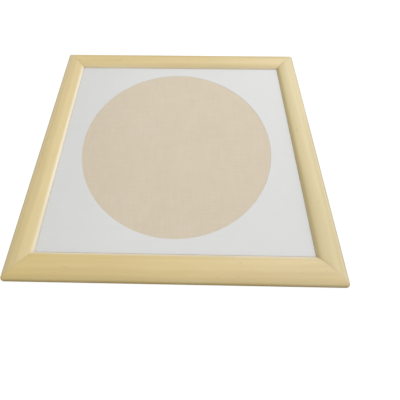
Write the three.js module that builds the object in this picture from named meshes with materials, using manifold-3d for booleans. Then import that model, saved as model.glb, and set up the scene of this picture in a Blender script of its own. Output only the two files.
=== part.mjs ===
// Screen printing frame: four mitred wooden rails with a crowned top face. Each mitre is keyed by a
// hidden loose tongue and pulled shut by two V-nails driven in from below. A woven screen is let into
// a rebate under the rails and held taut by four cords, each pressed with the edge of the screen into
// a groove. A white block-out coat masks the screen, apart from one round open area. The rebate keeps
// the screen a few millimetres above the table, so that it snaps off the print behind the squeegee.
//
// Millimetres, +Z up. The origin is the middle of the footprint, on the plane the rails rest on.
// +X runs along the front and back rails, and +Y points to the back rail.
//
// A rail's section is drawn in two coordinates: "inset" runs from the rail's outer face (0) to its
// inner face, and "height" runs up from the plane the rails rest on.

import * as THREE from 'three';
import { mergeVertices } from 'three/addons/utils/BufferGeometryUtils.js';
import Module from 'manifold-3d';

const wasm = await Module();
wasm.setup();

// ---- Driving dimensions ----------------------------------------------------------------------

const OPENING = { x: 330, y: 305 };
const RAIL = { width: 32, height: 11, crownRadius: 28, crestInset: 16 };
const OPEN_AREA = { diameter: 270, x: -2, y: 0 };

const SHOULDER_RADIUS = 8;
const LIP_RADIUS = 6;
const FOOT_CHAMFER = 0.6;
const CORNER_TIP_RADIUS = 4;
const GLUE_LINE = 0.1;

const REBATE = { inset: 15, depth: 4 };
const GROOVE = { inset: 21, width: 4, depth: 3.4 };
const SCREEN = { thickness: 0.3, top: REBATE.depth - GLUE_LINE, grooveGap: 0.1, skirtSetback: 10 };
const COAT_THICKNESS = 0.4;
const CORD = { diameter: 2.8, endGap: 0.5 };

const TONGUE = { length: 10, thickness: 1.6, inset: 11.5, foot: 6.1, cornerRadius: 2 };
const V_NAIL = { wing: 5, gauge: 0.6, height: 5, insets: [4.5, 9.5] };
const POCKET_GAP = 0.25;

const OUTSIDE = { x: OPENING.x + 2 * RAIL.width, y: OPENING.y + 2 * RAIL.width };
const CROWN_CENTRE = new THREE.Vector2(RAIL.crestInset, RAIL.height - RAIL.crownRadius);
const GROOVE_CEILING = REBATE.depth + GROOVE.depth;
const TALL = 2 * RAIL.height;
const SAME_POINT = 1e-6;
const QUARTER_TURN = Math.PI / 2;

// ---- Materials -------------------------------------------------------------------------------

const paleWood = new THREE.MeshStandardMaterial({ color: 0xdcc48f, roughness: 0.5, metalness: 0 });
const tongueWood = new THREE.MeshStandardMaterial({ color: 0xc9a877, roughness: 0.75, metalness: 0 });
const steel = new THREE.MeshStandardMaterial({ color: 0x9a9ca0, roughness: 0.4, metalness: 1 });
const ecruScreen = new THREE.MeshStandardMaterial({ color: 0xd7cab7, roughness: 0.85, metalness: 0 });
const whiteCoat = new THREE.MeshStandardMaterial({ color: 0xdcdcdb, roughness: 0.6, metalness: 0 });
const cordYarn = new THREE.MeshStandardMaterial({ color: 0xe9e6dd, roughness: 0.9, metalness: 0 });

// ---- Solids ----------------------------------------------------------------------------------

function toSolid(geometry) {
  const bare = geometry.clone();
  bare.deleteAttribute('normal');
  bare.deleteAttribute('uv');
  const merged = mergeVertices(bare);
  const vertProperties = new Float32Array(merged.attributes.position.array);
  const triVerts = new Uint32Array(merged.index.array);
  return new wasm.Manifold(new wasm.Mesh({ numProp: 3, vertProperties, triVerts }));
}

function toGeometry(solid) {
  const mesh = solid.getMesh();
  const geometry = new THREE.BufferGeometry();
  geometry.setAttribute('position', new THREE.BufferAttribute(mesh.vertProperties, 3));
  geometry.setIndex(new THREE.BufferAttribute(mesh.triVerts, 1));
  geometry.computeVertexNormals();
  return geometry;
}

function prism(outline, depth) {
  return new THREE.ExtrudeGeometry(outline, { depth, bevelEnabled: false, curveSegments: 64 });
}

function arcPoints(centre, radius, from, to, steps) {
  const points = [];
  for (let step = 0; step <= steps; step += 1) {
    const angle = from + ((to - from) * step) / steps;
    points.push(new THREE.Vector2(radius * Math.cos(angle), radius * Math.sin(angle)).add(centre));
  }
  return points;
}

function withoutRepeats(points) {
  return points.filter((point, index) => point.distanceTo(points.at(index - 1)) > SAME_POINT);
}

function roundedRectangle(width, height, radius) {
  const x = width / 2 - radius;
  const y = height / 2 - radius;
  const corners = [[x, y], [-x, y], [-x, -y], [x, -y]];
  const points = corners.flatMap(([cornerX, cornerY], turn) => {
    const start = turn * QUARTER_TURN;
    return arcPoints(new THREE.Vector2(cornerX, cornerY), radius, start, start + QUARTER_TURN, 8);
  });
  return new THREE.Shape(points);
}

// ---- Rails -----------------------------------------------------------------------------------

// The round edge between the crown and an upright face: its circle touches both from inside. The
// lip's circle ends early, at the rebate.
function crownEdge(faceInset, radius) {
  const inward = Math.sign(RAIL.crestInset - faceInset);
  const inset = faceInset + inward * radius;
  const rise = Math.sqrt((RAIL.crownRadius - radius) ** 2 - (inset - CROWN_CENTRE.x) ** 2);
  const centre = new THREE.Vector2(inset, CROWN_CENTRE.y + rise);
  const crownAngle = centre.clone().sub(CROWN_CENTRE).angle();
  return { centre, radius, crownAngle };
}

function railSection() {
  const lip = crownEdge(RAIL.width, LIP_RADIUS);
  const lipFoot = Math.asin((REBATE.depth - lip.centre.y) / lip.radius);
  const shoulder = crownEdge(0, SHOULDER_RADIUS);
  const grooveOuter = GROOVE.inset - GROOVE.width / 2;
  const grooveInner = GROOVE.inset + GROOVE.width / 2;
  const underside = [
    [0, FOOT_CHAMFER],
    [FOOT_CHAMFER, 0],
    [REBATE.inset, 0],
    [REBATE.inset, REBATE.depth],
    [grooveOuter, REBATE.depth],
    [grooveOuter, GROOVE_CEILING],
    [grooveInner, GROOVE_CEILING],
    [grooveInner, REBATE.depth],
  ].map(([inset, height]) => new THREE.Vector2(inset, height));
  return new THREE.Shape(withoutRepeats([
    ...underside,
    ...arcPoints(lip.centre, lip.radius, lipFoot, lip.crownAngle, 9),
    ...arcPoints(CROWN_CENTRE, RAIL.crownRadius, lip.crownAngle, shoulder.crownAngle, 16),
    ...arcPoints(shoulder.centre, shoulder.radius, shoulder.crownAngle, Math.PI, 12),
  ]));
}

// A rail lies along X with its outer face on y = 0, and each end is cut back 1 mm per mm of inset.
function mitredBlank(length) {
  const blank = prism(railSection(), 1);
  const position = blank.attributes.position;
  for (let index = 0; index < position.count; index += 1) {
    const inset = position.getX(index);
    const height = position.getY(index);
    const end = position.getZ(index) - 0.5;
    position.setXYZ(index, end * (length - 2 * inset - GLUE_LINE), inset, height);
  }
  return blank;
}

// A shape drawn about a point of the mitre line, moved to that point at one end of a rail. Its own
// +X points inward along the mitre.
function atMitre(geometry, length, end, inset, height) {
  const inwardAngle = end > 0 ? 3 * QUARTER_TURN / 2 : QUARTER_TURN / 2;
  return geometry
    .clone()
    .rotateZ(inwardAngle)
    .translate(end * (length / 2 - inset), inset, height);
}

function tonguePocket() {
  const side = TONGUE.length + 2 * POCKET_GAP;
  const depth = TONGUE.thickness + 2 * POCKET_GAP;
  return prism(roundedRectangle(side, side, TONGUE.cornerRadius), depth);
}

function nailPocket() {
  return prism(nailOutline(POCKET_GAP), V_NAIL.height + 2 * POCKET_GAP);
}

// The outside corner of the frame at one end of a rail, rounded in plan.
function tipTrimmer(length) {
  return prism(roundedRectangle(length, length, CORNER_TIP_RADIUS), TALL)
    .translate(0, length / 2, -RAIL.height / 2);
}

function railGeometry(length) {
  let rail = toSolid(mitredBlank(length)).intersect(toSolid(tipTrimmer(length)));
  for (const end of [-1, 1]) {
    const tongueFoot = TONGUE.foot - POCKET_GAP;
    rail = rail.subtract(toSolid(atMitre(tonguePocket(), length, end, TONGUE.inset, tongueFoot)));
    for (const inset of V_NAIL.insets) {
      rail = rail.subtract(toSolid(atMitre(nailPocket(), length, end, inset, -POCKET_GAP)));
    }
  }
  return toGeometry(rail);
}

// ---- Corner keys and nails -------------------------------------------------------------------

function tongueGeometry() {
  return prism(roundedRectangle(TONGUE.length, TONGUE.length, TONGUE.cornerRadius), TONGUE.thickness);
}

// A V seen from below, with its point on the mitre line and one wing in each rail. Growing it moves
// every face out by the same amount.
function nailOutline(grow) {
  const reach = (V_NAIL.wing + 2 * grow) * Math.SQRT1_2;
  const across = (V_NAIL.gauge + 2 * grow) * Math.SQRT1_2;
  const point = -grow * Math.SQRT2;
  return new THREE.Shape([
    new THREE.Vector2(point, 0),
    new THREE.Vector2(point + reach, -reach),
    new THREE.Vector2(point + reach + across, across - reach),
    new THREE.Vector2(point + 2 * across, 0),
    new THREE.Vector2(point + reach + across, reach - across),
    new THREE.Vector2(point + reach, reach),
  ]);
}

function nailGeometry() {
  return prism(nailOutline(0), V_NAIL.height);
}

// ---- Screen, cords and coat ------------------------------------------------------------------

// One edge of the screen, folded up, over and down inside the groove of a rail that lies along X.
function screenSkirt(length) {
  const { thickness, top, grooveGap, skirtSetback } = SCREEN;
  const outer = GROOVE.inset - GROOVE.width / 2 + grooveGap;
  const inner = GROOVE.inset + GROOVE.width / 2 - grooveGap;
  const ceiling = GROOVE_CEILING - grooveGap;
  const fold = new THREE.Shape([
    [inner, top - thickness],
    [inner, ceiling],
    [outer, ceiling],
    [outer, top],
    [outer + thickness, top],
    [outer + thickness, ceiling - thickness],
    [inner - thickness, ceiling - thickness],
    [inner - thickness, top - thickness],
  ].map(([inset, height]) => new THREE.Vector2(inset, height)));
  const run = length - 2 * (GROOVE.inset + skirtSetback);
  const standing = new THREE.Matrix4().set(0, 0, 1, -run / 2, 1, 0, 0, 0, 0, 1, 0, 0, 0, 0, 0, 1);
  return prism(fold, run).applyMatrix4(standing);
}

function screenGeometry() {
  const edgeInset = GROOVE.inset + GROOVE.width / 2 - SCREEN.grooveGap - SCREEN.thickness;
  const panel = new THREE.BoxGeometry(
    OUTSIDE.x - 2 * edgeInset,
    OUTSIDE.y - 2 * edgeInset,
    SCREEN.thickness,
  ).translate(0, 0, SCREEN.top - SCREEN.thickness / 2);
  let screen = toSolid(panel);
  for (const side of SIDES) {
    const skirt = screenSkirt(side.length)
      .translate(0, -side.reach, 0)
      .rotateZ(side.turn);
    screen = screen.add(toSolid(skirt));
  }
  return toGeometry(screen);
}

function coatGeometry() {
  const outline = new THREE.Shape([
    new THREE.Vector2(-OPENING.x / 2, -OPENING.y / 2),
    new THREE.Vector2(OPENING.x / 2, -OPENING.y / 2),
    new THREE.Vector2(OPENING.x / 2, OPENING.y / 2),
    new THREE.Vector2(-OPENING.x / 2, OPENING.y / 2),
  ]);
  const radius = OPEN_AREA.diameter / 2;
  outline.holes.push(new THREE.Path().absarc(OPEN_AREA.x, OPEN_AREA.y, radius, 0, 2 * Math.PI));
  return prism(outline, COAT_THICKNESS);
}

// The front and back cords run the full groove, and the side cords stop short of them.
function cordLength(side) {
  const fullRun = side.length - 2 * (GROOVE.inset - CORD.diameter / 2);
  const crossing = 2 * (CORD.diameter + CORD.endGap);
  return side.alongX ? fullRun : fullRun - crossing;
}

function cordGeometry(side) {
  const radius = CORD.diameter / 2;
  return new THREE.CapsuleGeometry(radius, cordLength(side) - CORD.diameter, 5, 16)
    .rotateZ(QUARTER_TURN);
}

// ---- Assembly --------------------------------------------------------------------------------

const SIDES = [
  { name: 'front', turn: 0, length: OUTSIDE.x, reach: OUTSIDE.y / 2, alongX: true },
  { name: 'right', turn: QUARTER_TURN, length: OUTSIDE.y, reach: OUTSIDE.x / 2, alongX: false },
  { name: 'back', turn: 2 * QUARTER_TURN, length: OUTSIDE.x, reach: OUTSIDE.y / 2, alongX: true },
  { name: 'left', turn: 3 * QUARTER_TURN, length: OUTSIDE.y, reach: OUTSIDE.x / 2, alongX: false },
];

const CORNERS = [
  { name: 'front_left', x: -1, y: -1 },
  { name: 'front_right', x: 1, y: -1 },
  { name: 'back_right', x: 1, y: 1 },
  { name: 'back_left', x: -1, y: 1 },
];

function namedMesh(name, geometry, material) {
  const mesh = new THREE.Mesh(geometry, material);
  mesh.name = name;
  return mesh;
}

// One side of the frame, drawn as the front and turned into place: its rail and its cord.
function sideGroup(side) {
  const group = new THREE.Group();
  const rail = namedMesh(`rail_${side.name}`, railGeometry(side.length), paleWood);
  rail.position.y = -side.reach;
  const cord = namedMesh(`cord_${side.name}`, cordGeometry(side), cordYarn);
  const cordTop = GROOVE_CEILING - 2 * SCREEN.grooveGap - SCREEN.thickness;
  cord.position.set(0, GROOVE.inset - side.reach, cordTop - CORD.diameter / 2);
  group.add(rail, cord);
  group.rotation.z = side.turn;
  return group;
}

// One corner, with +X pointing inward along the mitre from the outer point of the corner.
function cornerGroup(corner) {
  const group = new THREE.Group();
  group.position.set((corner.x * OUTSIDE.x) / 2, (corner.y * OUTSIDE.y) / 2, 0);
  group.rotation.z = Math.atan2(-corner.y, -corner.x);
  const tongue = namedMesh(`corner_tongue_${corner.name}`, tongueGeometry(), tongueWood);
  tongue.position.set(TONGUE.inset * Math.SQRT2, 0, TONGUE.foot);
  group.add(tongue);
  V_NAIL.insets.forEach((inset, index) => {
    const place = ['outer', 'inner'][index];
    const nail = namedMesh(`v_nail_${corner.name}_${place}`, nailGeometry(), steel);
    nail.position.x = inset * Math.SQRT2;
    group.add(nail);
  });
  return group;
}

const group = new THREE.Group();
for (const side of SIDES) group.add(sideGroup(side));
for (const corner of CORNERS) group.add(cornerGroup(corner));

group.add(namedMesh('screen_mesh', screenGeometry(), ecruScreen));

const coat = namedMesh('blockout_coat', coatGeometry(), whiteCoat);
coat.position.z = SCREEN.top;
group.add(coat);

export default group;
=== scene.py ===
import math

import bmesh
import bpy
from mathutils import Matrix, Vector, noise


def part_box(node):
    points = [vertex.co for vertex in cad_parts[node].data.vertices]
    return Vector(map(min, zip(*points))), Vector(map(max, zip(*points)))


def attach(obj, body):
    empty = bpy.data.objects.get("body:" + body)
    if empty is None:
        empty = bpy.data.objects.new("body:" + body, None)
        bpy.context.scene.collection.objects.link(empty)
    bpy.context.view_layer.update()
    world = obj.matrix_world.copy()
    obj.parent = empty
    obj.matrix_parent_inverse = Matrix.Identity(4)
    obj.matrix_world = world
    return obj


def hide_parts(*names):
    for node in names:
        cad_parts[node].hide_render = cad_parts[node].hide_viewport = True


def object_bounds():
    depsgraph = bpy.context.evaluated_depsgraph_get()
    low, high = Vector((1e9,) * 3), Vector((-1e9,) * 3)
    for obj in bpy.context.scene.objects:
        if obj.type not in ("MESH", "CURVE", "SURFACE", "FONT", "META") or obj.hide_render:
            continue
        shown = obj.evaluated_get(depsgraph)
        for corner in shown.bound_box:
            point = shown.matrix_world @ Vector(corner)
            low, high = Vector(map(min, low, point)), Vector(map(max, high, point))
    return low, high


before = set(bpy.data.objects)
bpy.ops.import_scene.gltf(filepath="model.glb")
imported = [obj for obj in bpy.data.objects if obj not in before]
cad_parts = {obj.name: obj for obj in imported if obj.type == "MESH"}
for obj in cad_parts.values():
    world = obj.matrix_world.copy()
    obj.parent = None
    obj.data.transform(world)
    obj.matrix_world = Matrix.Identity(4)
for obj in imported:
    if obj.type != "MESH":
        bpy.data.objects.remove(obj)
CAD_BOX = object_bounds()

# ---- Measures, in metres ---------------------------------------------------------------------
# A rail's section has two coordinates: inset, from the rail's outer face inwards, and height.

MM = 0.001
OUTSIDE = CAD_BOX[1] - CAD_BOX[0]
RAIL_WIDTH = 32 * MM
CROWN_RADIUS = 28 * MM
CREST_INSET = 16 * MM
SHOULDER_RADIUS = 8 * MM
LIP_RADIUS = 6 * MM
FOOT_CHAMFER = 0.6 * MM
TIP_RADIUS = 4 * MM
GLUE_LINE = 0.1 * MM
JOINT_EASE = 0.2 * MM
JOINT_DIP = 0.03 * MM

REBATE_INSET = 15 * MM
REBATE_DEPTH = 4 * MM
GROOVE_INSET = 21 * MM
GROOVE_HALF = 2 * MM
GROOVE_CEILING = 7.4 * MM
GROOVE_GAP = 0.1 * MM

NAIL_INSETS = (4.5 * MM, 9.5 * MM)
NAIL_WING = 5 * MM
NAIL_GAUGE = 0.6 * MM
NAIL_HEIGHT = 5 * MM
POCKET_GAP = 0.25 * MM

OPEN_CENTRE = Vector((-2 * MM, 0, 0))
OPEN_RADIUS = 135 * MM
SCREEN_THICKNESS = 0.3 * MM
SCREEN_TOP = 3.9 * MM
COAT_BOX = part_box("blockout_coat")
CORD_RADIUS = 1.4 * MM
SKIRT_SETBACK = 31 * MM

QUARTER_TURN = math.pi / 2
CROWN_CENTRE = Vector((CREST_INSET, OUTSIDE.z - CROWN_RADIUS))

# For each rail: how much white lies on its lip, partly a film of block-out white and partly painted
# highlight; how much painted sheen lies on its shoulder; and how much painted shade lies on its lip.
FILM_SHEEN_AND_SHADE = {
    "front": (0.9, 0.0, 0.0),
    "right": (0.0, 0.35, 0.35),
    "back": (0.35, 0.1, 0.0),
    "left": (1.0, 0.15, 0.0),
}

# The tone of the wood at both ends of each rail: partly each board's own tone and partly painted sheen,
# which makes the side rails paler.
BOARD_TONES_AND_SHEEN = {
    "front": (Vector((1.01, 0.965, 0.7)), Vector((1.01, 1.01, 1.04))),
    "right": (Vector((1.0, 1.04, 1.17)), Vector((0.92, 0.97, 1.0))),
    "back": (Vector((0.98, 0.97, 0.87)), Vector((1.09, 1.07, 1.0))),
    "left": (Vector((1.08, 1.08, 1.11)), Vector((1.03, 1.05, 1.05))),
}

# Each side is drawn as the front one, then turned into place: its turn, length and reach.
SIDES = {
    "front": (0, OUTSIDE.x, OUTSIDE.y / 2),
    "right": (1, OUTSIDE.y, OUTSIDE.x / 2),
    "back": (2, OUTSIDE.x, OUTSIDE.y / 2),
    "left": (3, OUTSIDE.y, OUTSIDE.x / 2),
}


# ---- Material building blocks ----------------------------------------------------------------

def node(tree, kind, inputs=None, **settings):
    """Adds a node. Each input is a plain value, or the output socket that feeds it."""
    made = tree.nodes.new("ShaderNode" + kind)
    for key, value in settings.items():
        setattr(made, key, value)
    for key, value in (inputs or {}).items():
        if isinstance(value, bpy.types.NodeSocket):
            tree.links.new(value, made.inputs[key])
        else:
            made.inputs[key].default_value = value
    return made


def maths(tree, operation, first, second=0.0):
    return node(tree, "Math", {0: first, 1: second}, operation=operation).outputs[0]


def stretched(tree, vector, scale):
    """The vector multiplied axis by axis by another, such as a scale or a tint."""
    return node(tree, "VectorMath", {0: vector, 1: scale}, operation="MULTIPLY").outputs[0]


def cloud(tree, vector, scale, detail=2.0, roughness=0.5):
    """Noise from 0 to 1 whose features are 1 / scale metres long on each axis."""
    place = stretched(tree, vector, scale)
    inputs = {"Vector": place, "Scale": 1.0, "Detail": detail, "Roughness": roughness}
    return node(tree, "TexNoise", inputs).outputs[0]


def span(tree, value, low, high, to_low=0.0, to_high=1.0):
    """The value mapped from low and high onto to_low and to_high, easing in and out."""
    inputs = {0: value, 1: low, 2: high, 3: to_low, 4: to_high}
    return node(tree, "MapRange", inputs, interpolation_type="SMOOTHSTEP").outputs[0]


def weighted(tree, *terms):
    """The sum of value * weight over the terms, each value taken about its middle of 0.5."""
    total = None
    for value, weight in terms:
        part = maths(tree, "MULTIPLY", maths(tree, "SUBTRACT", value, 0.5), weight)
        total = part if total is None else maths(tree, "ADD", total, part)
    return total


def ramp(tree, value, stops):
    made = node(tree, "ValToRGB", {0: value})
    elements = made.color_ramp.elements
    while len(elements) < len(stops):
        elements.new(0.5)
    for element, (position, colour) in zip(elements, stops):
        element.position = position
        element.color = (*colour, 1)
    return made.outputs[0]


def blend_colour(tree, amount, first, second):
    inputs = {0: amount, 6: first, 7: second}
    return node(tree, "Mix", inputs, data_type="RGBA").outputs[2]


def new_material(name):
    material = bpy.data.materials.new(name)
    material.use_nodes = True
    material.node_tree.nodes.clear()
    return material, material.node_tree


def finish_material(tree, inputs, height=None, depth=0.0):
    """Closes a material: a principled surface, with a bump of that depth where it has a height."""
    inputs = dict(inputs)
    if height is not None:
        bump = node(tree, "Bump", {"Height": height, "Strength": 1.0, "Distance": depth})
        inputs["Normal"] = bump.outputs[0]
    surface = node(tree, "BsdfPrincipled", inputs)
    output = node(tree, "OutputMaterial")
    tree.links.new(surface.outputs[0], output.inputs["Surface"])


def attribute(tree, name, output="Vector"):
    return node(tree, "Attribute", attribute_name=name).outputs[output]


def object_place(tree):
    return node(tree, "TexCoord").outputs["Object"]


# ---- Materials -------------------------------------------------------------------------------

def growth_rings(tree, place, pith, spacing):
    """Rings about a pith line that runs along the grain, wavering slowly: 0 to 1 over each ring."""
    across = node(tree, "VectorMath", {0: place, 1: pith}, operation="SUBTRACT").outputs[0]
    radius_vector = stretched(tree, across, (0, 1, 1))
    radius = node(tree, "VectorMath", {0: radius_vector}, operation="LENGTH").outputs["Value"]
    waver = maths(tree, "MULTIPLY", cloud(tree, place, (4, 30, 30), 2), 3.2)
    rings = maths(tree, "ADD", maths(tree, "DIVIDE", radius, spacing), waver)
    return maths(tree, "PINGPONG", rings, 1.0)


def lacquered_wood():
    """Pale, straight-grained wood under a thin satin lacquer. It reads the marks stored on each
    rail: grain, which is the place in the tree, board_tone_and_sheen for its tone, which is partly
    painted sheen, wear along the handled edges, joint at the mitres, film_and_painted_sheen for a
    white film on the lips that is partly block-out and partly painted highlight, and for painted
    sheen on the shoulders, and painted_shade for painted shade low on the outer face and on a lip."""
    material, tree = new_material("lacquered_wood")
    place = attribute(tree, "grain")
    wear = attribute(tree, "wear", "Fac")
    joint = attribute(tree, "joint", "Fac")
    film_and_painted_sheen = attribute(tree, "film_and_painted_sheen", "Fac")
    painted_shade = attribute(tree, "painted_shade", "Fac")
    # Where the painted shade lies, the lacquer's gloss is turned down.
    outside_painted_shade = maths(tree, "SUBTRACT", 1.0, painted_shade)

    rings = span(tree, growth_rings(tree, place, (0, -0.034, -0.05), 0.0031), 0.1, 1.0)
    fibre = cloud(tree, place, (22, 900, 900), 3, 0.6)
    fleck = cloud(tree, place, (130, 2600, 2600), 1)
    tone = cloud(tree, place, (9, 60, 60), 2)
    value = weighted(tree, (rings, 0.2), (fibre, 0.6), (tone, 0.9))
    colour = ramp(tree, maths(tree, "ADD", value, 0.5), [
        (0.15, (0.445, 0.325, 0.110)),
        (0.5, (0.488, 0.366, 0.131)),
        (0.85, (0.524, 0.400, 0.153)),
    ])
    # The tone of each rail's board, which is partly painted sheen.
    colour = stretched(tree, colour, attribute(tree, "board_tone_and_sheen"))

    pores = span(tree, fleck, 0.66, 0.76, 0.0, 0.3)
    colour = blend_colour(tree, pores, colour, (0.43, 0.29, 0.11, 1))
    knots = span(tree, cloud(tree, place, (110, 330, 330), 1), 0.68, 0.78, 0.0, 0.45)
    colour = blend_colour(tree, knots, colour, (0.37, 0.24, 0.08, 1))
    rubbed = maths(tree, "MULTIPLY", wear, span(tree, tone, 0.3, 0.7, 0.1, 0.45))
    colour = blend_colour(tree, rubbed, colour, (0.66, 0.55, 0.31, 1))
    colour = blend_colour(tree, maths(tree, "MULTIPLY", joint, 0.2), colour, (0.40, 0.26, 0.10, 1))
    # White laid on the lips and shoulders: on the lips partly a film of block-out and partly painted
    # highlight, on the shoulders painted sheen.
    film_and_sheen_paint = maths(tree, "MULTIPLY", film_and_painted_sheen, span(tree, tone, 0.2, 0.8, 0.5, 0.8))
    colour = blend_colour(tree, film_and_sheen_paint, colour, (0.78, 0.74, 0.66, 1))
    # Painted shade: dark brown laid low on the outer face, darkest by the table, and on the right
    # rail's inner lip.
    shade_paint = maths(tree, "MULTIPLY", painted_shade, span(tree, tone, 0.2, 0.8, 0.6, 0.8))
    colour = blend_colour(tree, shade_paint, colour, (0.16, 0.09, 0.015, 1))

    rough = maths(tree, "ADD", weighted(tree, (fibre, 0.16), (tone, 0.12)), 0.46)
    height = maths(tree, "SUBTRACT", fibre, pores)
    finish_material(tree, {
        "Base Color": colour,
        "Roughness": maths(tree, "SUBTRACT", rough, maths(tree, "MULTIPLY", wear, 0.08)),
        "IOR": 1.7,
        "Specular IOR Level": maths(tree, "MULTIPLY", outside_painted_shade, 0.9),
        "Coat Weight": maths(tree, "MULTIPLY", outside_painted_shade, 0.5),
        "Coat Roughness": 0.3,
    }, height, 0.00003)
    return material


def raw_wood():
    """The unfinished end-sawn ply of the loose tongues: bands of veneer, with open fibres."""
    material, tree = new_material("raw_ply")
    place = object_place(tree)
    height = node(tree, "SeparateXYZ", {0: place}).outputs[2]
    layer = maths(tree, "PINGPONG", maths(tree, "MULTIPLY", height, 1200), 1.0)
    fibre = cloud(tree, place, (900, 900, 60), 3, 0.6)
    tone = cloud(tree, place, (160, 160, 160), 2)
    value = maths(tree, "ADD", weighted(tree, (layer, 0.3), (fibre, 0.5), (tone, 0.4)), 0.5)
    colour = ramp(tree, value, [(0.2, (0.33, 0.20, 0.09)), (0.8, (0.58, 0.41, 0.21))])
    finish_material(tree, {"Base Color": colour, "Roughness": 0.82}, fibre, 0.00006)
    return material


def weave_height(tree, place, pitch):
    """A plain weave: round threads both ways, each passing over and under the next in turn."""
    scale = math.pi / pitch
    separate = node(tree, "SeparateXYZ", {0: stretched(tree, place, (scale, scale, scale))})
    across = maths(tree, "SINE", separate.outputs[0])
    along = maths(tree, "SINE", separate.outputs[1])
    over = span(tree, maths(tree, "MULTIPLY", across, along), -0.35, 0.35)
    warp = maths(tree, "MULTIPLY", maths(tree, "ABSOLUTE", across), over)
    weft = maths(tree, "MULTIPLY", maths(tree, "ABSOLUTE", along),
                 maths(tree, "SUBTRACT", 1.0, over))
    return maths(tree, "MAXIMUM", warp, weft)


def away_from_opening(tree, place, edge):
    """0 inside the round open area and 1 outside it, with an edge of that width."""
    inputs = {0: stretched(tree, place, (1, 1, 0)), 1: OPEN_CENTRE}
    distance = node(tree, "VectorMath", inputs, operation="DISTANCE").outputs["Value"]
    return span(tree, distance, OPEN_RADIUS - edge, OPEN_RADIUS + edge)


def shaded_towards_left(tree, place, colour):
    """The colour with painted shade laid over it, darkening from the middle of the screen to its left
    edge.
    """
    side = node(tree, "SeparateXYZ", {0: place}).outputs[0]
    left_shade = span(tree, side, -OUTSIDE.x * 0.42, -OUTSIDE.x * 0.1, 0.06, 0.0)
    return blend_colour(tree, left_shade, colour, (0.08, 0.06, 0.0, 1))


def woven_screen():
    """Natural-coloured plain-weave cloth. Beyond the open area its pores are filled with white."""
    material, tree = new_material("woven_screen")
    place = object_place(tree)
    threads = weave_height(tree, place, 0.0006)
    slub_across = cloud(tree, place, (30, 500, 1), 2)
    slub_along = cloud(tree, place, (500, 30, 1), 2)
    mottle = cloud(tree, place, (75, 75, 75), 3, 0.6)
    blotch = cloud(tree, place, (16, 16, 16), 2)
    value = maths(tree, "ADD", 0.5, weighted(
        tree, (threads, 0.22), (slub_across, 0.25), (slub_along, 0.25), (mottle, 0.2), (blotch, 0.12)))
    colour = ramp(tree, value, [
        (0.2, (0.490, 0.414, 0.304)),
        (0.5, (0.546, 0.471, 0.363)),
        (0.8, (0.602, 0.528, 0.422)),
    ])
    # Painted shade towards the screen's left edge.
    colour = shaded_towards_left(tree, place, colour)
    filled = maths(tree, "MULTIPLY", away_from_opening(tree, place, 0.0006),
                   span(tree, threads, 0.3, 0.8, 0.85, 0.35))
    colour = blend_colour(tree, filled, colour, (0.70, 0.70, 0.685, 1))
    finish_material(tree, {
        "Base Color": colour,
        "Roughness": maths(tree, "ADD", weighted(tree, (threads, 0.15), (mottle, 0.1)), 0.78),
        "Sheen Weight": 0.12,
        "Sheen Roughness": 0.5,
    }, maths(tree, "ADD", threads, mottle), 0.00008)
    return material


def blockout():
    """White screen filler: a matt skin with a faint print of the weave and of the coating tool."""
    material, tree = new_material("blockout_white")
    place = object_place(tree)
    threads = weave_height(tree, place, 0.0006)
    drag = cloud(tree, place, (9, 240, 1), 3)
    mottle = cloud(tree, place, (60, 60, 60), 3, 0.6)
    stipple = cloud(tree, place, (900, 900, 900), 2)
    value = maths(tree, "ADD", 0.5, weighted(tree, (drag, 0.3), (mottle, 0.4), (stipple, 0.2)))
    colour = ramp(tree, value, [(0.2, (0.552, 0.553, 0.542)), (0.8, (0.595, 0.597, 0.595))])
    # Painted shade towards the screen's left edge.
    colour = shaded_towards_left(tree, place, colour)
    height = weighted(tree, (threads, 0.3), (stipple, 0.5), (drag, 0.7))
    finish_material(tree, {
        "Base Color": colour,
        "Roughness": maths(tree, "ADD", weighted(tree, (mottle, 0.15), (drag, 0.12)), 0.56),
        "Specular IOR Level": 0.4,
    }, height, 0.00004)
    return material


def cord_yarn():
    """Bleached cotton: fine twisted fibres, with painted shade in the hollows between strands."""
    material, tree = new_material("cord_yarn")
    place = object_place(tree)
    hair = cloud(tree, place, (2600, 2600, 2600), 3, 0.6)
    # Painted shade: the yarn is greyer where the strands dip into the hollows.
    crease_shading_mask = attribute(tree, "crease_shading", "Fac")
    value = maths(tree, "ADD", 0.45, weighted(tree, (hair, 0.4), (crease_shading_mask, 0.5)))
    colour = ramp(tree, value, [(0.15, (0.42, 0.39, 0.33)), (0.75, (0.78, 0.75, 0.68))])
    finish_material(tree, {"Base Color": colour, "Roughness": 0.9, "Sheen Weight": 0.3}, hair, 0.00008)
    return material


def nail_steel():
    """Bright rolled strip with fine draw lines and the odd dull spot."""
    material, tree = new_material("nail_steel")
    place = object_place(tree)
    draw = cloud(tree, place, (400, 400, 9000), 2)
    spot = cloud(tree, place, (700, 700, 700), 2)
    colour = ramp(tree, spot, [(0.35, (0.36, 0.35, 0.34)), (0.6, (0.62, 0.62, 0.63))])
    rough = maths(tree, "ADD", weighted(tree, (draw, 0.2), (spot, -0.3)), 0.36)
    inputs = {"Base Color": colour, "Metallic": 1.0, "Roughness": rough}
    finish_material(tree, inputs, draw, 0.00002)
    return material


def studio_floor():
    """A pale floor, washed out in the camera's eyes, that throws little light back on the object."""
    material, tree = new_material("studio_floor")
    seen = node(tree, "LightPath").outputs["Is Camera Ray"]
    colour = blend_colour(tree, seen, (0.28, 0.28, 0.28, 1), (0.22, 0.22, 0.22, 1))
    finish_material(tree, {
        "Base Color": colour,
        "Roughness": 0.9,
        "Specular IOR Level": 0.0,
        "Emission Color": (1, 1, 1, 1),
        "Emission Strength": maths(tree, "MULTIPLY", seen, 0.82),
    })
    return material


# ---- Mesh building blocks --------------------------------------------------------------------

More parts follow.
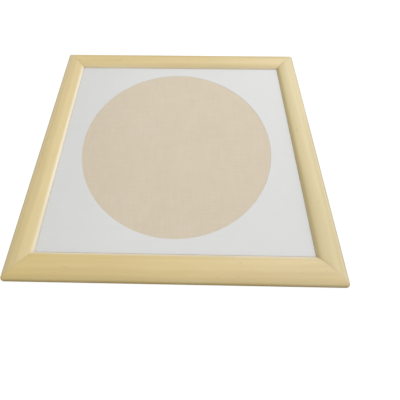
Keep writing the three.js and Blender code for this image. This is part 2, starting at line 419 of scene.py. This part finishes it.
def new_piece(name, mesh, material):
    mesh.materials.append(material)
    piece = bpy.data.objects.new(name, mesh)
    bpy.context.scene.collection.objects.link(piece)
    return piece


def mesh_from_bmesh(name, form, smooth=True):
    """Cleans a bmesh, turns its faces outwards and gives it smooth shading."""
    bmesh.ops.remove_doubles(form, verts=form.verts, dist=1e-7)
    bmesh.ops.dissolve_degenerate(form, edges=form.edges, dist=1e-7)
    bmesh.ops.recalc_face_normals(form, faces=form.faces)
    for face in form.faces:
        face.smooth = smooth
    mesh = bpy.data.meshes.new(name)
    form.to_mesh(mesh)
    form.free()
    return mesh


def bridge_rings(form, rings, closed_ring=True):
    """Quads between each ring of vertices and the next."""
    for first, second in zip(rings, rings[1:]):
        count = len(first)
        steps = count if closed_ring else count - 1
        for index in range(steps):
            after = (index + 1) % count
            form.faces.new((first[index], first[after], second[after], second[index]))


def side_matrix(side):
    turn, _, reach = SIDES[side]
    return Matrix.Rotation(turn * QUARTER_TURN, 4, "Z") @ Matrix.Translation((0, -reach, 0))


def store(mesh, name, values):
    """Writes one number, or one vector, per vertex as an attribute that materials can read."""
    vectors = isinstance(values[0], Vector)
    kind, field = ("FLOAT_VECTOR", "vector") if vectors else ("FLOAT", "value")
    layer = mesh.attributes.new(name, kind, "POINT")
    for item, value in zip(layer.data, values):
        setattr(item, field, value)


def arc(centre, radius, start, end, steps):
    turns = [start + (end - start) * step / steps for step in range(steps + 1)]
    return [centre + radius * Vector((math.cos(turn), math.sin(turn))) for turn in turns]


def applied(piece):
    """Applies a piece's modifiers, so that what they made is its own mesh."""
    evaluated = piece.evaluated_get(bpy.context.evaluated_depsgraph_get())
    mesh = bpy.data.meshes.new_from_object(evaluated)
    piece.modifiers.clear()
    piece.data = mesh
    return piece


def sharpen(piece, degrees):
    """Marks edges that turn more than that as sharp, so that flat faces stay flat in the light."""
    form = bmesh.new()
    form.from_mesh(piece.data)
    limit = math.radians(degrees)
    for edge in form.edges:
        edge.smooth = len(edge.link_faces) == 2 and edge.calc_face_angle(0) < limit
    for face in form.faces:
        face.smooth = True
    form.to_mesh(piece.data)
    form.free()


def stand_for(piece, cad_node):
    """The piece is shown in place of that CAD node, on the frame's one body."""
    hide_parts(cad_node)
    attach(piece, "root")


# ---- Rails -----------------------------------------------------------------------------------

def crown_edge(face_inset, radius):
    """The circle that rounds the edge between the crown and an upright face."""
    inset = face_inset + math.copysign(radius, CREST_INSET - face_inset)
    rise = math.sqrt((CROWN_RADIUS - radius) ** 2 - (inset - CROWN_CENTRE.x) ** 2)
    centre = Vector((inset, CROWN_CENTRE.y + rise))
    away = centre - CROWN_CENTRE
    return centre, math.atan2(away.y, away.x)


def rail_section():
    """The section's outline, and for each point whether it lies above the foot, in plain sight."""
    lip, lip_turn = crown_edge(RAIL_WIDTH, LIP_RADIUS)
    shoulder, shoulder_turn = crown_edge(0, SHOULDER_RADIUS)
    foot = [
        (0, FOOT_CHAMFER),
        (FOOT_CHAMFER, 0),
        (REBATE_INSET, 0),
        (REBATE_INSET, REBATE_DEPTH),
        (GROOVE_INSET - GROOVE_HALF, REBATE_DEPTH),
        (GROOVE_INSET - GROOVE_HALF, GROOVE_CEILING),
        (GROOVE_INSET + GROOVE_HALF, GROOVE_CEILING),
        (GROOVE_INSET + GROOVE_HALF, REBATE_DEPTH),
    ]
    lip_foot = math.asin((REBATE_DEPTH - lip.y) / LIP_RADIUS)
    top = arc(lip, LIP_RADIUS, lip_foot, lip_turn, 16)
    top += arc(CROWN_CENTRE, CROWN_RADIUS, lip_turn, shoulder_turn, 36)[1:]
    top += arc(shoulder, SHOULDER_RADIUS, shoulder_turn, math.pi, 16)[1:]
    return [(Vector(point), False) for point in foot] + [(point, True) for point in top]


def outward(points, index):
    """The section's unit normal at a point, pointing out of the wood."""
    run = points[(index + 1) % len(points)] - points[index - 1]
    return Vector((run.y, -run.x)).normalized()


def rail_stations(length, inset, straight=56, turned=6):
    """Places along a rail at one inset: its straight run, then at each end the round of the tip."""
    reach = length / 2 - max(inset, TIP_RADIUS) - JOINT_EASE
    places = [Vector((reach * (2 * step / straight - 1), inset)) for step in range(straight + 1)]
    left, right = [], []
    for step in range(1, turned + 1):
        turn = QUARTER_TURN / 2 * step / turned
        radius = max(TIP_RADIUS - inset, 0)
        x = reach + radius * math.sin(turn)
        y = max(inset, TIP_RADIUS) - radius * math.cos(turn)
        right.append(Vector((x, y)))
        left.insert(0, Vector((-x, y)))
    return left + places + right


def rail_form(length):
    """One rail, from its left mitre to its right one, with each joint edge dipped a little."""
    section = rail_section()
    points = [point for point, _ in section]
    columns = []
    for index, (point, in_sight) in enumerate(section):
        column = [place.to_3d() + Vector((0, 0, point.y))
                  for place in rail_stations(length, point.x)]
        dip = JOINT_DIP * outward(points, index) if in_sight else Vector((0, 0))
        for end, row in ((-1, 0), (1, len(column) + 1)):
            y = column[row - 1 if end > 0 else 0].y - dip.x
            x = end * (length / 2 - y - GLUE_LINE / 2)
            column.insert(row, Vector((x, y, point.y - dip.y)))
        columns.append(column)
    form = bmesh.new()
    rings = [[form.verts.new(column[row]) for column in columns] for row in range(len(columns[0]))]
    bridge_rings(form, rings)
    form.faces.new(rings[0])
    form.faces.new(list(reversed(rings[-1])))
    return form


def nail_pocket(form, length, end, inset):
    """A V-shaped prism at one end of a rail, a little bigger all round than the nail in it."""
    reach = (NAIL_WING + 2 * POCKET_GAP) * math.sqrt(0.5)
    across = (NAIL_GAUGE + 2 * POCKET_GAP) * math.sqrt(0.5)
    tip = -POCKET_GAP * math.sqrt(2)
    outline = [
        (tip, 0),
        (tip + reach, -reach),
        (tip + reach + across, across - reach),
        (tip + 2 * across, 0),
        (tip + reach + across, reach - across),
        (tip + reach, reach),
    ]
    turn = Matrix.Rotation(QUARTER_TURN * (1.5 if end > 0 else 0.5), 4, "Z")
    place = Matrix.Translation((end * (length / 2 - inset), inset, 0)) @ turn
    heights = (-POCKET_GAP, NAIL_HEIGHT + POCKET_GAP)
    rings = [[form.verts.new(place @ Vector((x, y, z))) for x, y in outline] for z in heights]
    bridge_rings(form, rings)
    form.faces.new(list(reversed(rings[0])))
    form.faces.new(rings[1])


def cut_nail_pockets(piece, length):
    cutters = bmesh.new()
    for end in (-1, 1):
        for inset in NAIL_INSETS:
            nail_pocket(cutters, length, end, inset)
    tool = bpy.data.objects.new("nail_pockets", mesh_from_bmesh("nail_pockets", cutters, False))
    bpy.context.scene.collection.objects.link(tool)
    cut = piece.modifiers.new("pockets", "BOOLEAN")
    cut.object = tool
    cut.operation = "DIFFERENCE"
    cut.solver = "EXACT"
    applied(piece)
    bpy.data.objects.remove(tool)


def clamped(value):
    return min(1.0, max(0.0, value))


def peak(value, middle, reach):
    """1 at the middle, falling evenly to 0 at that distance on either side."""
    return clamped(1 - abs(value - middle) / reach)


def foot_painted_shade(inset, height):
    """Painted shade on the outer face: a band that is darkest near the table and fades out upwards."""
    top = 7 * MM
    on_outer_face = inset < 3 * MM and 0.3 * MM < height < top
    return ((top - height) / top) ** 1.3 if on_outer_face else 0.0


def wood_marks(side, place):
    """Every mark at one place on a rail, drawn as the front one: x along it, inset and height."""
    number, length, _ = SIDES[side]
    lip_white_strength, shoulder_sheen_strength, lip_shade_strength = FILM_SHEEN_AND_SHADE[side]
    x, inset, height = place
    upper = 1.0 if height > REBATE_DEPTH + 0.01 * MM else 0.0
    # Painted shade low on the outer face, darkest by the table.
    foot = foot_painted_shade(inset, height)
    handled = upper * max(peak(inset, RAIL_WIDTH, 3 * MM), peak(inset, 1.5 * MM, 3 * MM))
    patchy = 0.55 + 0.9 * noise.noise(Vector((x * 14, inset * 60, number * 7.0)))
    # White on the lip, partly a film of block-out and partly painted highlight; painted sheen on the
    # shoulder; painted shade on the inner lip.
    lip_white_mask = upper * clamped((inset - 28 * MM) / (3.5 * MM))
    shoulder_sheen_mask = clamped((8 * MM - inset) / (6 * MM)) * (1 - foot)
    lip_shade_mask = upper * peak(inset, 30 * MM, 3.5 * MM)
    return {
        "grain": place + Vector((0.9, 0.0061, 0.0043)) * number,
        "wear": clamped(handled * patchy) * (1 - foot),
        "joint": peak(length / 2 - inset - abs(x), 0, 0.5 * MM),
        "film_and_painted_sheen": lip_white_mask * lip_white_strength + shoulder_sheen_mask * shoulder_sheen_strength,
        "painted_shade": max(foot, lip_shade_mask * lip_shade_strength),
        "board_tone_and_sheen": BOARD_TONES_AND_SHEEN[side][0].lerp(BOARD_TONES_AND_SHEEN[side][1], x / length + 0.5),
    }


def mark_wood(mesh, side):
    """Stores the rail's marks on its mesh, where the wood's material reads them."""
    marks = [wood_marks(side, Vector(vertex.co)) for vertex in mesh.vertices]
    for name in marks[0]:
        store(mesh, name, [mark[name] for mark in marks])


def build_rail(side, material):
    length = SIDES[side][1]
    mesh = mesh_from_bmesh(f"rail_{side}", rail_form(length))
    piece = new_piece(f"rail_{side}_lacquered", mesh, material)
    cut_nail_pockets(piece, length)
    mark_wood(piece.data, side)
    piece.data.transform(side_matrix(side))
    sharpen(piece, 38)
    stand_for(piece, f"rail_{side}")


# ---- Screen, coat and cords ------------------------------------------------------------------

def fold_path():
    """How the screen's edge goes up into the groove, over the cord and down again, as steps of
    inset and height from the flat of the screen."""
    middle = SCREEN_TOP - SCREEN_THICKNESS / 2
    wrap = CORD_RADIUS + GROOVE_GAP + SCREEN_THICKNESS / 2
    over = Vector((GROOVE_INSET, GROOVE_CEILING - 2 * GROOVE_GAP - SCREEN_THICKNESS / 2 - wrap))
    bend = 0.45 * MM
    turn = Vector((GROOVE_INSET + wrap + bend, middle + bend))
    path = arc(turn, bend, -QUARTER_TURN, -2 * QUARTER_TURN, 5)[1:]
    path += arc(over, wrap, 0, math.pi, 12)
    path.append(Vector((over.x - wrap, REBATE_DEPTH)))
    return turn.x, path


def spread(reach, setback, steps):
    """Places across the screen: its two edges, the ends of the folded part, and steps between."""
    inner = reach - setback
    return [-reach] + [inner * (2 * step / steps - 1) for step in range(steps + 1)] + [reach]


def screen_form():
    """A flat grid, with a strip folded into the groove along each side between the corners."""
    start_inset, path = fold_path()
    reach = (OUTSIDE.x / 2 - start_inset, OUTSIDE.y / 2 - start_inset)
    setback = SKIRT_SETBACK - start_inset
    rows = [spread(reach[axis], setback, steps) for axis, steps in ((0, 66), (1, 61))]
    middle = SCREEN_TOP - SCREEN_THICKNESS / 2
    form = bmesh.new()
    grid = [[form.verts.new((x, y, middle)) for x in rows[0]] for y in rows[1]]
    bridge_rings(form, grid, closed_ring=False)
    borders = {
        "front": grid[0],
        "right": [line[-1] for line in grid],
        "back": list(reversed(grid[-1])),
        "left": [line[0] for line in reversed(grid)],
    }
    for side, border in borders.items():
        place = side_matrix(side)
        edge = border[1:-1]
        along = [(place.inverted() @ vertex.co).x for vertex in edge]
        strips = [[form.verts.new(place @ Vector((x, step.x, step.y))) for x in along] for step in path]
        bridge_rings(form, [edge, *strips], closed_ring=False)
    return form


def build_screen(material):
    piece = new_piece("screen_woven", mesh_from_bmesh("screen_woven", screen_form()), material)
    thicken = piece.modifiers.new("thickness", "SOLIDIFY")
    thicken.thickness = SCREEN_THICKNESS
    thicken.offset = 0
    applied(piece)
    sharpen(piece, 50)
    stand_for(piece, "screen_mesh")


def ray_to_edge(turn):
    """How far the coat's straight edge lies from the middle of the open area, in one direction."""
    low, high = COAT_BOX
    across, along = math.cos(turn), math.sin(turn)
    reach_x = ((high.x if across > 0 else low.x) - OPEN_CENTRE.x) / across if abs(across) > 1e-9 else 1
    reach_y = ((high.y if along > 0 else low.y) - OPEN_CENTRE.y) / along if abs(along) > 1e-9 else 1
    return min(reach_x, reach_y)


def coat_turns(steps):
    """Even directions about the open area, with each one nearest a corner moved onto it."""
    turns = [2 * math.pi * step / steps for step in range(steps)]
    low, high = COAT_BOX
    for x in (low.x, high.x):
        for y in (low.y, high.y):
            corner = math.atan2(y - OPEN_CENTRE.y, x - OPEN_CENTRE.x) % (2 * math.pi)
            nearest = min(range(steps), key=lambda index: abs(turns[index] - corner))
            turns[nearest] = corner
    return turns


def coat_form():
    """A thin skin whose inner edge runs down to the screen in a soft bead round the open area."""
    low, high = COAT_BOX[0].z, COAT_BOX[1].z
    skin = high - low
    edge = [(OPEN_RADIUS + skin * (1 - math.cos(turn)), low + skin * math.sin(turn))
            for turn in (QUARTER_TURN * step / 5 for step in range(6))]
    shares = [0.02, 0.06, 0.15, 0.3, 0.5, 0.7, 0.86, 0.97]
    form = bmesh.new()
    rings = []
    turns = coat_turns(384)

    def ring(radius_at, height_at):
        made = []
        for turn in turns:
            radius = radius_at(turn)
            place = OPEN_CENTRE + radius * Vector((math.cos(turn), math.sin(turn), 0))
            place.z = height_at(place)
            made.append(form.verts.new(place))
        rings.append(made)

    def lay(place):
        return high - 0.05 * MM * (0.5 + noise.noise(place * 40))

    for radius, height in edge:
        ring(lambda turn, radius=radius: radius, lambda place, height=height: height)
    brim = edge[-1][0]
    for share in shares:
        ring(lambda turn, share=share: brim + share * (ray_to_edge(turn) - brim), lay)
    ring(ray_to_edge, lay)
    ring(ray_to_edge, lambda place: low)
    rings.append(rings[0])
    bridge_rings(form, rings)
    return form


def build_coat(material):
    piece = new_piece("blockout_skin", mesh_from_bmesh("blockout_skin", coat_form()), material)
    sharpen(piece, 45)
    stand_for(piece, "blockout_coat")


def cord_form(length, strands=3, lay=0.0062):
    """A twisted cord along X: rings of strand lobes that turn once in each lay."""
    around, per_turn = 21, 10
    rows = round(length / lay * per_turn)
    form = bmesh.new()
    depth = []
    rings = []
    for row in range(rows + 1):
        x = length * (row / rows - 0.5)
        end = min(1.0, (length / 2 - abs(x)) / CORD_RADIUS)
        taper = math.sqrt(max(1 - (1 - end) ** 2, 0.12))
        ring = []
        for index in range(around):
            turn = 2 * math.pi * index / around
            lobe = abs(math.cos(strands / 2 * (turn + 2 * math.pi * x / lay)))
            radius = CORD_RADIUS * taper * (0.8 + 0.2 * lobe)
            ring.append(form.verts.new((x, radius * math.cos(turn), radius * math.sin(turn))))
            depth.append(lobe)
        rings.append(ring)
    bridge_rings(form, rings)
    form.faces.new(list(reversed(rings[0])))
    form.faces.new(rings[-1])
    return form, depth


def build_cord(side, material):
    low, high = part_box(f"cord_{side}")
    size, middle = high - low, (low + high) / 2
    along_x = size.x > size.y
    form, depth = cord_form(max(size.x, size.y))
    mesh = mesh_from_bmesh(f"cord_{side}_twisted", form)
    # How far out on its strand each vertex lies, read by the yarn for painted shade in the hollows.
    store(mesh, "crease_shading", depth)
    turn = Matrix.Identity(4) if along_x else Matrix.Rotation(QUARTER_TURN, 4, "Z")
    mesh.transform(Matrix.Translation(middle) @ turn)
    piece = new_piece(f"cord_{side}_twisted", mesh, material)
    stand_for(piece, f"cord_{side}")


def dress_cad_nodes(prefix, material):
    """Gives its material to each carried-over CAD node whose name starts that way."""
    for name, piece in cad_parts.items():
        if name.startswith(prefix):
            piece.data.materials.clear()
            piece.data.materials.append(material)


# ---- Studio ----------------------------------------------------------------------------------

# The room's own light, then each glow in it: azimuth and elevation in degrees, and strength.
# The last glow comes from straight below, and counts only while the floor is out of the way.
ROOM_LIGHT = 0.62
GLOWS = (
    (-90, 20, 0.3),
    (-45, 30, 0.28),
    (0, 30, 0.34),
    (45, 40, 0.7),
    (135, 30, 0.35),
    (0, 90, 0.5),
    (0, -90, 0.5),
)
BACKDROP_LIGHT = 0.92


def drive_by_camera_height(owner, channel, camera, expression):
    """Works a channel out from an expression in the camera's height."""
    driver = owner.driver_add(channel).driver
    driver.type = "SCRIPTED"
    height = driver.variables.new()
    height.name = "height"
    height.type = "TRANSFORMS"
    height.targets[0].id = camera
    height.targets[0].transform_type = "LOC_Z"
    driver.expression = expression


def build_floor(camera):
    """A pale floor that is hidden from a camera below it, so that the underside can be seen."""
    form = bmesh.new()
    bmesh.ops.create_grid(form, x_segments=8, y_segments=8, size=6)
    floor = new_piece("studio_floor", mesh_from_bmesh("studio_floor", form), studio_floor())
    floor.location.z = -0.1 * MM
    drive_by_camera_height(floor, "hide_render", camera, "height < 0")


def area_light(name, place, size, power):
    """A soft square light at a place, facing the middle of the object."""
    light = bpy.data.lights.new(name, "AREA")
    light.size = size
    light.energy = power
    lamp = bpy.data.objects.new(name, light)
    lamp.location = place
    lamp.rotation_euler = Vector(place).to_track_quat("Z", "Y").to_euler()
    bpy.context.scene.collection.objects.link(lamp)


def heading(azimuth, elevation):
    """A unit vector: azimuth from +X towards +Y, elevation over the horizon."""
    level = math.cos(elevation)
    return Vector((level * math.cos(azimuth), level * math.sin(azimuth), math.sin(elevation)))


def build_world():
    """A white room with soft glows in it, the strongest from the right and behind. The camera
    itself sees it as an even, pale backdrop."""
    world = bpy.data.worlds.new("studio")
    world.use_nodes = True
    tree = world.node_tree
    tree.nodes.clear()
    direction = node(tree, "TexCoord").outputs["Generated"]
    strength = ROOM_LIGHT
    for azimuth, elevation, glow in GLOWS:
        towards = {0: direction, 1: heading(math.radians(azimuth), math.radians(elevation))}
        facing = node(tree, "VectorMath", towards, operation="DOT_PRODUCT").outputs["Value"]
        strength = maths(tree, "ADD", strength, span(tree, facing, 0.6, 1.0, 0.0, glow))
    seen = node(tree, "LightPath").outputs["Is Camera Ray"]
    shown = node(tree, "Mix", {0: seen, 2: strength, 3: BACKDROP_LIGHT}, data_type="FLOAT").outputs[0]
    background = node(tree, "Background", {"Color": (1, 1, 1, 1), "Strength": shown})
    output = node(tree, "OutputWorld")
    tree.links.new(background.outputs[0], output.inputs["Surface"])
    bpy.context.scene.world = world


def aim(azimuth, elevation, roll):
    """A camera turn: azimuth from +Y towards +X, elevation of the camera over the horizon."""
    forward = Vector((
        math.sin(azimuth) * math.cos(elevation),
        math.cos(azimuth) * math.cos(elevation),
        -math.sin(elevation),
    ))
    level = forward.cross(Vector((0, 0, 1))).normalized()
    right = Matrix.Rotation(-roll, 3, forward) @ level
    up = right.cross(forward)
    return Matrix((right, up, -forward)).transposed().to_quaternion()


def shift_in_main_view(camera, channel, amount):
    """The lens shift frames the main view. A camera moved to any other height looks straight."""
    in_place = f"abs(height - {camera.location.z:.6f}) < 0.0001"
    drive_by_camera_height(camera.data, channel, camera, f"{amount} if {in_place} else 0")


def build_camera():
    """The photograph's viewpoint, fitted to the frame's edges and the round area. The photograph
    doesn't settle the lens, and 27 mm is one of several that fit about as well."""
    data = bpy.data.cameras.new("camera")
    data.lens = 27
    data.sensor_width = 36
    camera = bpy.data.objects.new("camera", data)
    camera.location = (0.01117, -0.22994, 0.37197)
    camera.rotation_mode = "QUATERNION"
    camera.rotation_quaternion = aim(math.radians(-1.458), math.radians(57.5), math.radians(-0.499))
    bpy.context.scene.collection.objects.link(camera)
    shift_in_main_view(camera, "shift_x", 0.0465)
    shift_in_main_view(camera, "shift_y", -0.1461)
    bpy.context.scene.camera = camera
    return camera


def build_studio():
    build_floor(build_camera())
    build_world()
    area_light("key", 0.5 * heading(math.radians(45), math.radians(35)), 0.4, 0.32)
    bpy.context.scene.view_settings.view_transform = "Standard"


# ---- Assembly --------------------------------------------------------------------------------

wood = lacquered_wood()
for side_name in SIDES:
    build_rail(side_name, wood)
build_screen(woven_screen())
build_coat(blockout())
yarn = cord_yarn()
for side_name in SIDES:
    build_cord(side_name, yarn)
dress_cad_nodes("corner_tongue", raw_wood())
dress_cad_nodes("v_nail", nail_steel())
build_studio()
